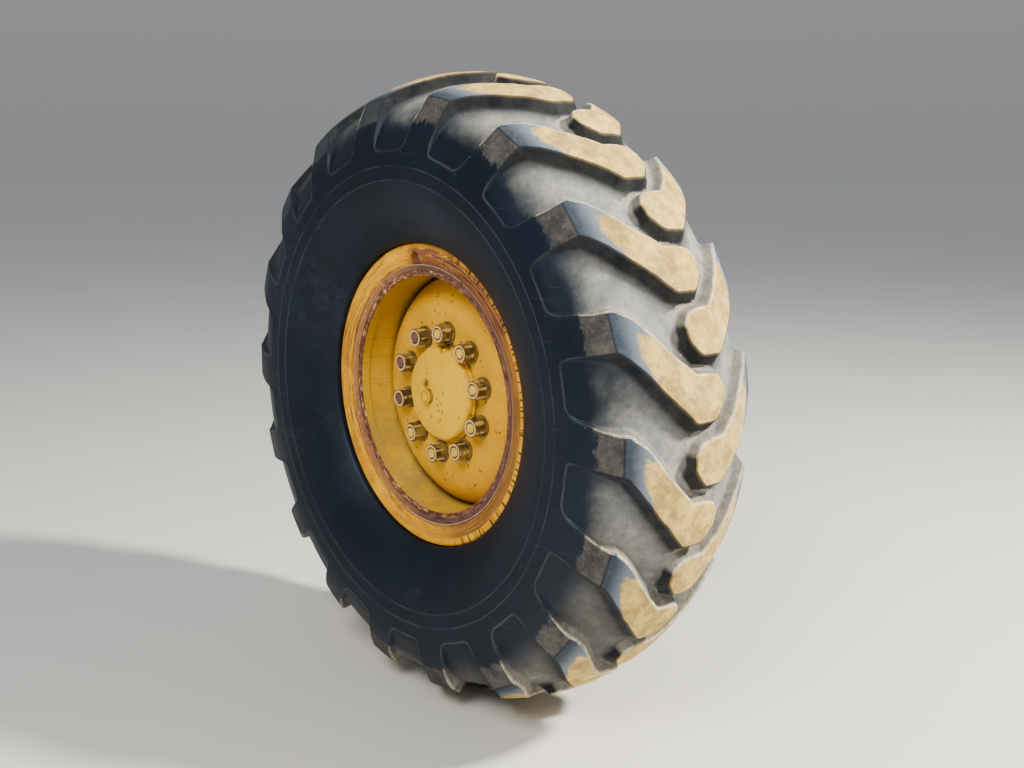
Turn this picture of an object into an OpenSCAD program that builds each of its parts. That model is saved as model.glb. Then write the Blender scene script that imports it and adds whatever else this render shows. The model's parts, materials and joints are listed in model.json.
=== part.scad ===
// Steered front wheel of a motor grader with its hub, steering knuckle and leaning yoke.
// X runs forward, Y runs inboard and Z up. The origin is in the yoke's lower eye, where the axle's pin goes.

/* [Tyre] */
// Diameter over the middle of the tread
tyre_d = 1449; // [1380:1:1520]
// Radius of the tread's curve from shoulder to shoulder
crown_curve_r = 327; // [310:1:345]
// Height of the lugs over the tread's base
tread_depth = 27; // [18:1:32]
// Width of the tyre over its sidewalls
section_w = 438; // [420:1:450]
// Radius of the sidewall's curve
sidewall_curve_r = 274; // [266:1:282]
// Radius at which the sidewall is widest
widest_r = 533; // [525:1:541]
// Thickness of the sidewall
sidewall_t = 24; // [14:1:34]
// Thickness of the rubber under the lugs
undertread_t = 24; // [16:1:34]
// Width of the beads and of their seats on the rim
bead_w = 56; // [40:1:66]
// Height over the flanges up to which the beads thicken the sidewalls
bead_h = 40; // [24:1:60]

/* [Lugs] */
// Number of lugs on each side of the tread
lug_count = 18; // [16:1:19]
// Angle of the first lug's inner corner above the forward direction
lug_phase = 3.4; // [-10:0.1:10]
// Width of the block at a lug's inner end
knob_w = 82; // [70:1:90]
// Length of the block around the tread
knob_l = 93; // [84:1:100]
// Width of a lug's slanted bar
bar_w = 63; // [50:1:70]
// Slant of the bar from the tyre's axis
bar_slant = 49; // [45:1:53]
// Bevel on the corners of the block
knob_bevel = 26; // [12:1:34]
// Cut that makes the shoulder pad narrower than the bar it continues
pad_trim = 18; // [4:1:30]
// Rise of the shoulder pads over the sidewall
pad_h = 0.6; // [0.3:0.1:3]
// Depth of the hollows between the shoulder pads
hollow_t = 6; // [3:1:9]
// Radius down to which the shoulder pads and the hollows reach
pad_low_r = 548; // [535:1:580]
// Depth to which the lugs are rooted in the carcass
lug_root = 12; // [10:1:15]
// Width of the tread between its shoulders
tread_w = 374; // [362:1:384]

/* [Rim] */
// Diameter of the seats of the tyre's beads
bead_seat_d = 609.6; // [600:0.1:620]
// Width between the flanges
rim_w = 254; // [244:1:264]
// Height of the flanges over the bead seats
flange_h = 44.5; // [38:0.5:50]
// Thickness of the flanges
flange_t = 12.6; // [9:0.1:16]
// Thickness of the side ring under the bead
side_ring_t = 16.8; // [15:0.1:19]
// Thickness of the barrel
barrel_t = 10; // [7:0.5:13]
// Rise of the gutter's lip inside the barrel
gutter_step = 3; // [1:0.5:5]
// Width of the gutter's lip
gutter_w = 24; // [14:1:34]
// Thickness of the lock ring
lock_ring_t = 12; // [8:0.5:14]
// Width of the gap where the lock ring is split
lock_ring_gap = 6; // [2:1:12]
// Angle of that gap above the forward direction
lock_split_angle = 64; // [0:1:359]
// Distance from the lock ring out to where the flange's face starts to slope in
cone_edge = 18; // [12:1:30]
// Distance of the lock ring's inner edge behind the flange's face
cone_drop = 11; // [8:0.5:12]
// Angle of the notch for the fitting lever above the forward direction
notch_angle = 95.5; // [0:0.5:359]
// Width of that notch
notch_w = 34; // [20:1:44]
// Height of the notch over the lock ring
notch_h = 30; // [20:1:36]
// Depth of the notch
notch_t = 9; // [5:0.5:11]

/* [Disc] */
// Distance of the disc's mounting face from the tyre's middle
disc_face_y = 78; // [70:1:84]
// Thickness of the disc
disc_t = 16; // [12:1:18]
// Flat of the disc past the hub's flange
disc_margin = 2; // [1:0.5:8]
// Radius of the disc's curve towards the rim
disc_curve_r = 130; // [112:1:150]

/* [Hub] */
// Diameter of the circle of the wheel nuts
nut_circle_d = 285.75; // [276:0.25:292]
// Number of wheel nuts
nut_count = 10; // [8:1:12]
// Angle of the first nut above the forward direction
nut_phase = 12.4; // [0:0.1:36]
// Diameter of the studs
stud_d = 24; // [20:1:26]
// Width across the flats of the nuts
nut_flats = 41; // [36:1:42]
// Height of the nuts with their collars
nut_h = 34; // [28:1:36]
// Collar of the nuts, past the flats and in height
nut_collar = 5.5; // [3:0.5:6]
// Countersink at a nut's outer face, wide and deep
nut_sink = 2.5; // [1:0.5:4]
// Length of stud that stands out of a nut
stud_out = 0.5; // [0.5:0.5:8]
// Bevel of the studs' ends
stud_bevel = 2; // [1:0.5:3]
// Radius of the hub's flange
hub_flange_r = 166; // [164:1:172]
// Thickness of the hub's flange
hub_flange_t = 24; // [18:1:30]
// Radius of the hub's barrel
hub_r = 98; // [90:1:106]
// Height and length of the taper between the hub's flange and its barrel
hub_taper = 22; // [10:1:24]
// Radius of the pilot on which the disc is centred
pilot_r = 112; // [106:1:114]
// Clearance of the disc on that pilot
pilot_gap = 0.5; // [0.2:0.1:1]
// Diameter of the hub cap
cap_d = 221; // [208:0.5:222]
// Height of the hub cap at its rim
cap_h = 21; // [18:0.5:26]
// Rise of the cap's dome
cap_dome = 6; // [1:0.5:8]
// Thickness of the cap
cap_t = 7; // [4:0.5:8]
// Radius of the cap's rounded edge
cap_edge_r = 12; // [4:0.5:14]
// Width and thickness of the collar at the cap's foot
cap_collar = 4; // [2:0.5:5]
// Diameter of the cap's plug
plug_d = 33; // [20:1:36]
// Height of the plug over the cap
plug_h = 11; // [4:1:14]
// Distance of the plug from the wheel's axis
plug_r = 29; // [0:1:60]
// Angle of the plug above the forward direction
plug_angle = 197; // [0:1:359]
// Distance of the hub's inner end from the tyre's middle
hub_inner_y = 56; // [50:1:62]

/* [Spindle] */
// Radius of the spindle under the inner bearing
inner_journal_r = 50; // [44:1:56]
// Length of the inner bearing seat
inner_journal_l = 44; // [30:1:56]
// Radius of the spindle under the outer bearing
outer_journal_r = 34; // [28:1:40]
// Length of the outer bearing seat
outer_journal_l = 36; // [26:1:46]
// Radius of the flange at the spindle's root
spindle_flange_r = 84; // [76:1:92]
// Radial clearance of the running fits
running_gap = 0.05; // [0.02:0.01:0.1]

/* [Knuckle and kingpin] */
// Distance from the tyre's middle to the kingpin's axis
kingpin_offset = 160; // [155:1:170]
// Radius of the kingpin
kingpin_r = 30; // [26:1:34]
// Height of the yoke's boss that holds the kingpin
boss_h = 172; // [160:1:184]
// Outer radius of that boss
boss_r = 58; // [52:1:62]
// Outer radius of the knuckle's ears
ear_r = 62; // [56:1:66]
// Height of each ear
ear_h = 44; // [36:1:54]
// Thickness of the thrust washers between boss and ears
washer_t = 5; // [3:1:8]
// Distance of the tie rod's hole behind the kingpin
arm_l = 240; // [232:1:250]
// Distance of the tie rod's hole inboard of the kingpin
arm_in = 82; // [78:1:88]
// Distance of the steering arm's elbow behind the kingpin
elbow_l = 150; // [140:1:160]
// Radius of the steering arm's elbow
elbow_r = 30; // [26:1:34]
// Thickness of the steering arm
arm_t = 32; // [26:1:38]
// Radius of the steering arm's end
arm_end_r = 28; // [24:1:30]
// Radius of the covers over the kingpin's ends
cover_r = 48; // [42:1:54]
// Thickness of those covers
cover_t = 10; // [6:1:16]
// Radius of the tie rod's hole
tie_hole_r = 14; // [11:0.5:16]

/* [Yoke] */
// Distance from the kingpin to the axle's pin
pivot_reach = 200; // [190:1:220]
// Height of the wheel's axis over the axle's pin
axle_h = 100; // [90:1:110]
// Radius of the hole for the axle's pin
pivot_r = 32.5; // [28:0.5:38]
// Length of the lower eye
pivot_eye_w = 120; // [100:1:128]
// Radius of the lower eye
pivot_eye_r = 60; // [54:1:64]
// Height of the upper eye over the lower eye
lean_eye_h = 250; // [240:1:262]
// Radius of the hole for the lean bar's pin
lean_r = 20; // [16:0.5:24]
// Length of the upper eye
lean_eye_w = 64; // [56:1:76]
// Radius of the upper eye
lean_eye_r = 40; // [36:1:44]
// Radius of the yoke's corners at the neck
neck_r = 34; // [26:1:40]
// Gap between the knuckle's ears and the yoke's arms
ear_gap = 12; // [8:1:18]
// Thickness of the yoke's web
web_t = 36; // [28:1:48]
// Depth of the pocket on each side of the web
pocket_t = 11; // [6:1:12]
// Distance that the pocket keeps from the eyes
pocket_rib = 5; // [3:1:10]
// Radius of the pocket's corners
pocket_r = 10; // [6:1:14]

/* [Hidden] */

kingpin_y = -pivot_reach;
tread_y = kingpin_y - kingpin_offset;
flange_r = bead_seat_d / 2 + flange_h;
rim_outer_y = rim_w / 2 + flange_t;
sidewall_centre_y = sidewall_curve_r - section_w / 2;
crown_centre_r = tyre_d / 2 - crown_curve_r;
bead_top_r = flange_r + 1.5;
barrel_outer_r = bead_seat_d / 2 - side_ring_t;
barrel_r = barrel_outer_r - barrel_t;
lock_outer_r = barrel_outer_r + lock_ring_t;
cone_top_r = lock_outer_r + cone_edge;
disc_flat_r = hub_flange_r + disc_margin;
lug_middle = (knob_l + bar_w / cos(bar_slant) + (tread_w - knob_w) / 2 * tan(bar_slant)) / 2;
tuck = 0.05;

boss_half = boss_h / 2;
ear_low = boss_half + washer_t;
ear_top = ear_low + ear_h;
web_y = boss_r + 6;
web_out_y = kingpin_offset - hub_inner_y - 6;
hub_front_y = -disc_face_y - 2;
disc_back_y = disc_t - disc_face_y;
outer_seat_y = hub_front_y + 4;
inner_seat_y = hub_inner_y - inner_journal_l;
cap_y = hub_front_y - cap_h;
lean_z = lean_eye_h - axle_h;

// Distance from the tyre's middle to a sidewall's face at a radius, less a depth into the rubber
function wall_y(radius, depth) =
    sqrt(pow(sidewall_curve_r - depth, 2) - pow(radius - widest_r, 2)) - sidewall_centre_y;

// Distance from the tyre's middle to the slope that runs from the flange's face in to the lock ring
function cone_y(radius) =
    rim_outer_y - cone_drop * (cone_top_r - radius) / (cone_top_r - barrel_outer_r);

// Turns a shape made around +Z so that its axis is the wheel's axis and its +Z runs inboard.
module on_wheel() {
    translate([0, tread_y, axle_h]) rotate([-90, 0, 0]) children();
}

// Places a shape made around +Z on the kingpin's axis, at the height of the wheel's axis.
module on_kingpin() {
    translate([0, kingpin_y, axle_h]) children();
}

// Places one piece for each wheel nut, counted from the forward direction upwards.
module on_nut_circle() {
    for (i = [0:nut_count - 1]) rotate(-nut_phase - i * 360 / nut_count) {
        translate([nut_circle_d / 2, 0, 0]) children();
    }
}

// Half section of the tyre between its sidewalls, for a given radius of sidewall and of crown
module tyre_section(side_r, crown_r) {
    intersection() {
        translate([widest_r, sidewall_centre_y]) circle(side_r, $fn = 180);
        translate([widest_r, -sidewall_centre_y]) circle(side_r, $fn = 180);
        translate([crown_centre_r, 0]) circle(crown_r, $fn = 180);
    }
}

// A bead on its seat, with the wedge that thickens the sidewall above it
module bead_section() {
    seat_r = bead_seat_d / 2;
    wedge_r = bead_top_r + bead_h;
    polygon([
        [seat_r - 1, rim_w / 2 - bead_w], [seat_r - 1, rim_w / 2 + 1], [bead_top_r + 1, rim_w / 2 + 1],
        [wedge_r, wall_y(wedge_r, sidewall_t / 2)], [wedge_r, wall_y(wedge_r, sidewall_t)],
        [bead_top_r, rim_w / 2 - bead_w / 2]
    ]);
}

// Section of the carcass. Where the hollows are, its sidewalls lie back to their floor.
module carcass_section() {
    base_r = crown_curve_r - tread_depth;
    difference() {
        union() {
            difference() {
                union() {
                    tyre_section(sidewall_curve_r - hollow_t, base_r);
                    intersection() {
                        tyre_section(sidewall_curve_r, base_r);
                        translate([0, -section_w]) square([pad_low_r, 2 * section_w]);
                    }
                }
                tyre_section(sidewall_curve_r - sidewall_t, base_r - undertread_t);
            }
            for (side = [0, 1]) mirror([0, side]) bead_section();
        }
        translate([0, -section_w]) square([bead_seat_d / 2, 2 * section_w]);
        for (side = [0, 1]) mirror([0, side]) translate([0, rim_w / 2]) square([bead_top_r, section_w]);
    }
}

// Outline of one lug seen from outside the tyre: x is across the tread from its middle and y around the tread
// from the block's lower corner. Past the shoulder it runs straight out over the sidewall.
module lug_outline() {
    half_w = knob_w / 2;
    slope = tan(bar_slant);
    bar_up = bar_w / cos(bar_slant);
    shoulder = tread_w / 2;
    foot = (shoulder - half_w) * slope;
    polygon([
        [-half_w, 0], [half_w - knob_bevel * 1.2, 0], [half_w, knob_bevel * 1.2],
        [half_w, knob_l - knob_bevel], [half_w - knob_bevel, knob_l],
        [-half_w - (knob_l - bar_up) / slope, knob_l],
        [-shoulder + pad_trim / slope, bar_up + foot - pad_trim], [-section_w, bar_up + foot - pad_trim],
        [-section_w, foot], [-shoulder, foot]
    ]);
}

// The band that the lugs fill: from a little inside the carcass out to the tread and the shoulder pads
module lug_band() {
    root_crown_r = crown_curve_r - tread_depth - lug_root;
    rotate_extrude($fn = 180) difference() {
        tyre_section(sidewall_curve_r + pad_h, crown_curve_r);
        tyre_section(sidewall_curve_r - lug_root, root_crown_r);
        translate([0, -section_w]) square([pad_low_r - 3, 2 * section_w]);
    }
}

// Lugs of one side of the tread, standing out along the wheel's radius
module lug_prisms(side) {
    middle = lug_middle;
    for (i = [0:lug_count - 1]) {
        turn = lug_phase + (i + (side > 0 ? 0.5 : 0)) * 360 / lug_count + middle * 360 / (PI * tyre_d);
        rotate(-turn) rotate(180, [1, 0, 1]) translate([0, -middle, pad_low_r - 40]) {
            linear_extrude(tyre_d / 2) mirror([side > 0 ? 1 : 0, 0]) lug_outline();
        }
    }
}

module tyre() {
    color([0.13, 0.14, 0.16]) on_wheel() {
        rotate_extrude($fn = 180) carcass_section();
        intersection() {
            lug_band();
            union() {
                lug_prisms(-1);
                lug_prisms(1);
            }
        }
    }
}

// Points of a bead seat and of the flange over it, which ends in a rounded lip
function seat_points() = concat(
    [[bead_seat_d / 2, rim_w / 2 - bead_w], [bead_seat_d / 2, rim_w / 2]],
    [for (turn = [-90:30:90]) [
        flange_r - flange_t / 2 * (1 - cos(turn)), (rim_w / 2 + rim_outer_y) / 2 + flange_t / 2 * sin(turn)
    ]]
);

module rim_base() {
    color([0.78, 0.6, 0.2]) on_wheel() rotate_extrude($fn = 180) polygon(concat(
        [
            [barrel_r - gutter_step, -rim_w / 2], [barrel_outer_r, -rim_w / 2],
            [barrel_outer_r, rim_w / 2 - bead_w]
        ],
        seat_points(),
        [
            [barrel_r, rim_outer_y], [barrel_r, gutter_w - rim_w / 2],
            [barrel_r - gutter_step, gutter_w - rim_w / 2]
        ]
    ));
}

// Slot for the fitting lever, drawn with its foot on the lock ring and its round end outwards
module notch_shape() {
    translate([0, -notch_w / 2]) square([lock_outer_r + notch_h - notch_w / 2, notch_w]);
    translate([lock_outer_r + notch_h - notch_w / 2, 0]) circle(notch_w / 2, $fn = 48);
}

module side_ring() {
    color([0.78, 0.6, 0.2]) on_wheel() difference() {
        mirror([0, 0, 1]) rotate_extrude($fn = 180) polygon(concat(
            [[barrel_outer_r, rim_w / 2 - bead_w]],
            seat_points(),
            [
                [cone_top_r, rim_outer_y], [lock_outer_r, cone_y(lock_outer_r)], [lock_outer_r, rim_w / 2],
                [barrel_outer_r, rim_w / 2]
            ]
        ));
        rotate(-notch_angle) translate([0, 0, -rim_outer_y - 1]) linear_extrude(notch_t + 1) notch_shape();
    }
}

module lock_ring() {
    color([0.45, 0.3, 0.27]) on_wheel() mirror([0, 0, 1]) difference() {
        rotate_extrude($fn = 180) polygon([
            [barrel_outer_r, rim_w / 2], [barrel_outer_r, cone_y(barrel_outer_r)],
            [lock_outer_r, cone_y(lock_outer_r)], [lock_outer_r, rim_w / 2]
        ]);
        rotate(-lock_split_angle) translate([barrel_r, -lock_ring_gap / 2, 0]) {
            cube([2 * (lock_outer_r - barrel_r), lock_ring_gap, rim_w]);
        }
    }
}

// Section of the disc: flat in the middle and curved back to the barrel
module disc_section() {
    curve_y = disc_curve_r - disc_face_y;
    translate([pilot_r, -disc_face_y]) square([disc_flat_r - pilot_r, disc_t]);
    intersection() {
        difference() {
            translate([disc_flat_r, curve_y]) circle(disc_curve_r, $fn = 180);
            translate([disc_flat_r, curve_y]) circle(disc_curve_r - disc_t, $fn = 180);
        }
        translate([disc_flat_r, -disc_face_y]) square([barrel_r - disc_flat_r, disc_curve_r]);
    }
}

module wheel_disc() {
    color([0.8, 0.62, 0.22]) on_wheel() difference() {
        rotate_extrude($fn = 180) disc_section();
        translate([0, 0, -disc_face_y - 1]) {
            on_nut_circle() cylinder(r = stud_d / 2 + 1, h = disc_t + 2, $fn = 48);
        }
    }
}

// Section of the hub round its bores: the pilot, the flange and a barrel that tapers up to the flange
module hub_section() {
    flange_back_y = disc_back_y + hub_flange_t;
    polygon([
        [0, hub_front_y], [pilot_r - pilot_gap, hub_front_y], [pilot_r - pilot_gap, disc_back_y],
        [hub_flange_r, disc_back_y], [hub_flange_r, flange_back_y], [hub_r + hub_taper, flange_back_y],
        [hub_r, flange_back_y + hub_taper], [hub_r, hub_inner_y], [0, hub_inner_y]
    ]);
}

module hub() {
    seat_end = outer_seat_y + outer_journal_l;
    color([0.76, 0.58, 0.2]) on_wheel() difference() {
        rotate_extrude($fn = 96) hub_section();
        translate([0, 0, hub_front_y - 1]) {
            cylinder(r = outer_journal_r + running_gap, h = seat_end - hub_front_y + 2, $fn = 96);
        }
        translate([0, 0, seat_end]) cylinder(r = inner_journal_r + 6, h = inner_seat_y - seat_end, $fn = 96);
        translate([0, 0, inner_seat_y - 1]) {
            cylinder(r = inner_journal_r + running_gap, h = inner_journal_l + 2, $fn = 96);
        }
        translate([0, 0, disc_back_y - 1]) {
            on_nut_circle() cylinder(d = stud_d, h = hub_flange_t + 2, $fn = 48);
        }
    }
}

// Section of the cap: a dome that is flat at its very middle, a rounded edge and a collar at its foot
module cap_section() {
    outer_r = cap_d / 2;
    dome_edge_r = outer_r - cap_edge_r;
    dome_r = (dome_edge_r * dome_edge_r + cap_dome * cap_dome) / (2 * cap_dome);
    dome_step = dome_edge_r / 10;
    function dome_y(radius) = cap_y - cap_dome + dome_r - sqrt(dome_r * dome_r - radius * radius);
    polygon(concat(
        [[0, dome_y(dome_step)]],
        [for (radius = [dome_step:dome_step:dome_edge_r - dome_step / 2]) [radius, dome_y(radius)]],
        [for (turn = [0:15:90]) [
            dome_edge_r + cap_edge_r * sin(turn), cap_y + cap_edge_r * (1 - cos(turn))
        ]],
        [
            [outer_r, hub_front_y - cap_collar], [outer_r + cap_collar, hub_front_y - cap_collar],
            [outer_r + cap_collar, hub_front_y], [outer_r - 2 * cap_t, hub_front_y],
            [outer_r - 2 * cap_t, cap_y + cap_t], [0, cap_y + cap_t]
        ]
    ));
}

module hub_cap() {
    color([0.78, 0.6, 0.22]) on_wheel() rotate_extrude($fn = 96) cap_section();
}

module cap_plug() {
    top_y = cap_y - cap_dome - plug_h;
    color([0.7, 0.52, 0.2]) on_wheel() difference() {
        rotate(-plug_angle) translate([plug_r, 0, top_y]) {
            cylinder(d = plug_d, h = plug_h + cap_dome, $fn = 48);
        }
        rotate_extrude($fn = 96) cap_section();
    }
}

module wheel_studs() {
    stud_l = nut_h + stud_out + disc_t + hub_flange_t;
    stud_r = stud_d / 2;
    color([0.5, 0.4, 0.3]) on_wheel() translate([0, 0, -disc_face_y - nut_h - stud_out]) {
        on_nut_circle() rotate_extrude($fn = 48) polygon([
            [0, 0], [stud_r - stud_bevel, 0], [stud_r, stud_bevel], [stud_r, stud_l], [0, stud_l]
        ]);
    }
}

// Hexagon whose corners are bevelled at its outer face, at the usual 30 degrees
module nut_body() {
    corner_r = nut_flats / 2 / cos(30);
    bevel = (corner_r - nut_flats / 2 + 2) * tan(30);
    intersection() {
        cylinder(r = corner_r, h = nut_h, $fn = 6);
        rotate_extrude($fn = 48) polygon([
            [0, 0], [nut_flats / 2 - 1, 0], [corner_r + 1, bevel], [corner_r + 1, nut_h], [0, nut_h]
        ]);
    }
}

module wheel_nuts() {
    color([0.62, 0.48, 0.28]) on_wheel() translate([0, 0, -disc_face_y - nut_h]) {
        on_nut_circle() difference() {
            union() {
                nut_body();
                translate([0, 0, nut_h - nut_collar]) {
                    cylinder(r = nut_flats / 2 + nut_collar, h = nut_collar, $fn = 48);
                }
            }
            translate([0, 0, -1]) cylinder(d = stud_d, h = nut_h + 2, $fn = 48);
            translate([0, 0, -1]) {
                cylinder(r1 = stud_d / 2 + nut_sink + 1, r2 = stud_d / 2, h = nut_sink + 1, $fn = 48);
            }
        }
    }
}

// Flat bar between two round ends. The bar's corners are tucked just inside the ends.
module link_shape(from, from_r, to, to_r) {
    from_in = from_r - tuck;
    to_in = to_r - tuck;
    gap = norm(to - from);
    along = (to - from) / gap;
    across = [-along[1], along[0]];
    lean = (from_r - to_r) / gap;
    side = sqrt(1 - lean * lean);
    translate(from) circle(from_r, $fn = 96);
    translate(to) circle(to_r, $fn = 96);
    polygon([
        from + from_in * (lean * along + side * across), from + from_in * (lean * along - side * across),
        to + to_in * (lean * along - side * across), to + to_in * (lean * along + side * across)
    ]);
}

// Extrudes a shape drawn in the plane of Y and Z, centred on that plane.
module along_x(width) {
    translate([-width / 2, 0, 0]) rotate([90, 0, 90]) linear_extrude(width) children();
}

module spindle_section() {
    tip = hub_front_y - 6;
    seat_end = outer_seat_y + outer_journal_l;
    flange_back_y = kingpin_offset - web_y - 12;
    polygon([
        [0, tip], [outer_journal_r - 12, tip], [outer_journal_r - 12, outer_seat_y - 2],
        [outer_journal_r, outer_seat_y - 2], [outer_journal_r, seat_end + 3],
        [inner_journal_r, inner_seat_y - 3], [inner_journal_r, hub_inner_y + 2],
        [spindle_flange_r, hub_inner_y + 8], [spindle_flange_r, flange_back_y], [0, flange_back_y]
    ]);
}

module knuckle() {
    elbow = [-elbow_l, 0];
    arm_end = [-arm_l, arm_in];
    color([0.72, 0.54, 0.2]) difference() {
        union() {
            on_wheel() rotate_extrude($fn = 96) spindle_section();
            on_kingpin() {
                translate([-ear_r, -web_out_y, -ear_top]) cube([2 * ear_r, web_out_y - web_y, 2 * ear_top]);
                for (low = [ear_low, -ear_top]) translate([0, 0, low]) linear_extrude(ear_h) {
                    circle(ear_r, $fn = 96);
                    translate([-ear_r, -web_out_y]) square([2 * ear_r, web_out_y]);
                }
                translate([0, 0, -ear_top]) linear_extrude(arm_t) {
                    link_shape([0, 0], ear_r - 12, elbow, elbow_r);
                    link_shape(elbow, elbow_r, arm_end, arm_end_r);
                }
            }
        }
        on_kingpin() {
            translate([0, 0, -ear_top - 1]) {
                cylinder(r = kingpin_r + running_gap, h = 2 * ear_top + 2, $fn = 96);
                translate(arm_end) cylinder(r = tie_hole_r, h = arm_t + 2, $fn = 48);
            }
        }
    }
}

module pin_cover(place_z) {
    color([0.72, 0.54, 0.2]) on_kingpin() translate([0, 0, place_z]) {
        cylinder(r = cover_r, h = cover_t, $fn = 96);
    }
}

module upper_pin_cover() {
    pin_cover(ear_top);
}

module lower_pin_cover() {
    pin_cover(-ear_top - cover_t);
}

module thrust_washer(place_z) {
    color([0.6, 0.55, 0.45]) on_kingpin() translate([0, 0, place_z]) difference() {
        cylinder(r = boss_r - 4, h = washer_t - 0.1, $fn = 96);
        translate([0, 0, -1]) cylinder(r = kingpin_r + 1, h = washer_t + 2, $fn = 96);
    }
}

module upper_thrust_washer() {
    thrust_washer(boss_half + 0.1);
}

module lower_thrust_washer() {
    thrust_washer(-ear_low);
}

module kingpin() {
    half_l = ear_top - 2;
    color([0.6, 0.6, 0.6]) on_kingpin() translate([0, 0, -half_l]) {
        cylinder(r = kingpin_r, h = 2 * half_l, $fn = 96);
    }
}

// Side view of the yoke: a neck that passes between the knuckle's ears, and an arm to each eye
module yoke_shape(low_eye, high_eye) {
    neck_end = ear_r + ear_gap + neck_r;
    neck_z = boss_half - neck_r;
    translate([0, -boss_half]) square([neck_end, boss_h]);
    link_shape([neck_end, -neck_z], neck_r, low_eye, pivot_eye_r - 12);
    link_shape([neck_end, neck_z], neck_r, high_eye, lean_eye_r - 8);
    polygon([[neck_end, -neck_z], low_eye, high_eye, [neck_end, neck_z]]);
}

// Pocket between the yoke's arms, seen from the side, with a corner by each eye and two at the neck
module pocket_shape(low_eye, high_eye) {
    neck = [ear_r + ear_gap + neck_r, 0];
    low_reach = pivot_eye_r + pocket_rib + pocket_r;
    high_reach = lean_eye_r + pocket_rib + pocket_r;
    corners = [
        neck - [0, neck_r - pocket_r], low_eye + low_reach * (neck - low_eye) / norm(neck - low_eye),
        high_eye + high_reach * (neck - high_eye) / norm(neck - high_eye), neck + [0, neck_r - pocket_r]
    ];
    polygon(corners);
    for (i = [0:3]) link_shape(corners[i], pocket_r, corners[(i + 1) % 4], pocket_r);
}

module yoke() {
    low_eye = [pivot_reach, -axle_h];
    high_eye = [pivot_reach, lean_z];
    color([0.72, 0.54, 0.2]) on_kingpin() difference() {
        union() {
            translate([0, 0, -boss_half]) cylinder(r = boss_r, h = boss_h, $fn = 96);
            along_x(web_t) yoke_shape(low_eye, high_eye);
            along_x(pivot_eye_w) translate(low_eye) circle(pivot_eye_r, $fn = 96);
            along_x(lean_eye_w) translate(high_eye) circle(lean_eye_r, $fn = 96);
        }
        for (side = [-1, 1]) translate([side * web_t / 2, 0, 0]) {
            along_x(2 * pocket_t) pocket_shape(low_eye, high_eye);
        }
        translate([0, 0, -boss_half - 1]) cylinder(r = kingpin_r + 0.02, h = boss_h + 2, $fn = 96);
        along_x(pivot_eye_w + 2) translate(low_eye) circle(pivot_r, $fn = 96);
        along_x(lean_eye_w + 2) translate(high_eye) circle(lean_r, $fn = 96);
    }
}

tyre();
rim_base();
side_ring();
lock_ring();
wheel_disc();
hub();
hub_cap();
cap_plug();
wheel_studs();
wheel_nuts();
knuckle();
upper_pin_cover();
lower_pin_cover();
upper_thrust_washer();
lower_thrust_washer();
kingpin();
yoke();
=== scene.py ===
"""A motor grader's steered front wheel: its finish and fine shapes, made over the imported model.

The wheel's outer side faces -Y, X runs forward and Z up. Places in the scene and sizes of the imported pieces
are in metres. The tyre is worked out in millimetres, first on a flat map: x runs round it, measured at its
greatest radius, and y across its section, measured along the crown's curve. Its lugs repeat after one pitch.
"""
import json
import math
import random
from functools import partial, reduce

import bmesh
import bpy
import numpy as np
from mathutils import Matrix, Vector, noise
from mathutils.geometry import delaunay_2d_cdt


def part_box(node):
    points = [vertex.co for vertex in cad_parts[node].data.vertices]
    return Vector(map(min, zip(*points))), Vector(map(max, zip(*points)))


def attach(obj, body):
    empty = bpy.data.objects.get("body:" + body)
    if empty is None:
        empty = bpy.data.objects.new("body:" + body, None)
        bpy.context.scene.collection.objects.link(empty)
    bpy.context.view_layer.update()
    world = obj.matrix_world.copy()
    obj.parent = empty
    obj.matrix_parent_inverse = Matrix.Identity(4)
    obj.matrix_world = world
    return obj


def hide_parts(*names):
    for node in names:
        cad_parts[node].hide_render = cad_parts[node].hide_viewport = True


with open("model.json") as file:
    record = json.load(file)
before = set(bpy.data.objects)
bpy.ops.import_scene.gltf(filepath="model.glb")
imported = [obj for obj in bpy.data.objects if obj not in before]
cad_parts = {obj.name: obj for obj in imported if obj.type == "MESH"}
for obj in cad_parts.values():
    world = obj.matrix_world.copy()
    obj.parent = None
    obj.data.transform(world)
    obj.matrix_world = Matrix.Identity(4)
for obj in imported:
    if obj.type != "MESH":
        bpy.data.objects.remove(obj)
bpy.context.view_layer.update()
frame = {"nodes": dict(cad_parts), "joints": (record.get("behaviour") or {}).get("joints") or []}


def joint_place(name):
    return Vector(next(joint for joint in frame["joints"] if joint["name"] == name)["pos_m"])


MM = 0.001
AXLE = joint_place("wheel_spin")
KINGPIN_Y = joint_place("steering").y


def outer_radius(node):
    """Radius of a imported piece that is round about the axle."""
    low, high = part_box(node)
    return (high[0] - low[0]) / 2


def outer_face(node):
    """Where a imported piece's outer face is, along Y from the axle's middle."""
    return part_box(node)[0][1] - AXLE.y


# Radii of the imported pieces, and places of their outer faces along the axle
FLANGE_R = outer_radius("side_ring")
LOCK_RING_R = outer_radius("lock_ring")
DISC_R = outer_radius("wheel_disc")
CAP_R = outer_radius("hub_cap")
FLANGE_FACE = outer_face("side_ring")
RIM_FACE = outer_face("rim_base")
DISC_FACE = outer_face("wheel_disc")
NUT_FACE = outer_face("wheel_nuts")

# Wheel nuts: how many, the turn of the first in degrees and the radius of their circle
NUT_COUNT = 10
NUT_PHASE = 12.4
NUT_CIRCLE_R = 0.142875

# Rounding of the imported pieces' edges: width in millimetres, and segments
BEVELS = {
    "side_ring": (1.2, 2), "lock_ring": (0.8, 2), "rim_base": (0.8, 2), "wheel_nuts": (0.9, 2),
    "wheel_studs": (0.6, 2), "cap_plug": (2, 3), "knuckle": (4, 3), "yoke": (5, 3),
    "upper_pin_cover": (2, 2), "lower_pin_cover": (2, 2),
}

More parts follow.
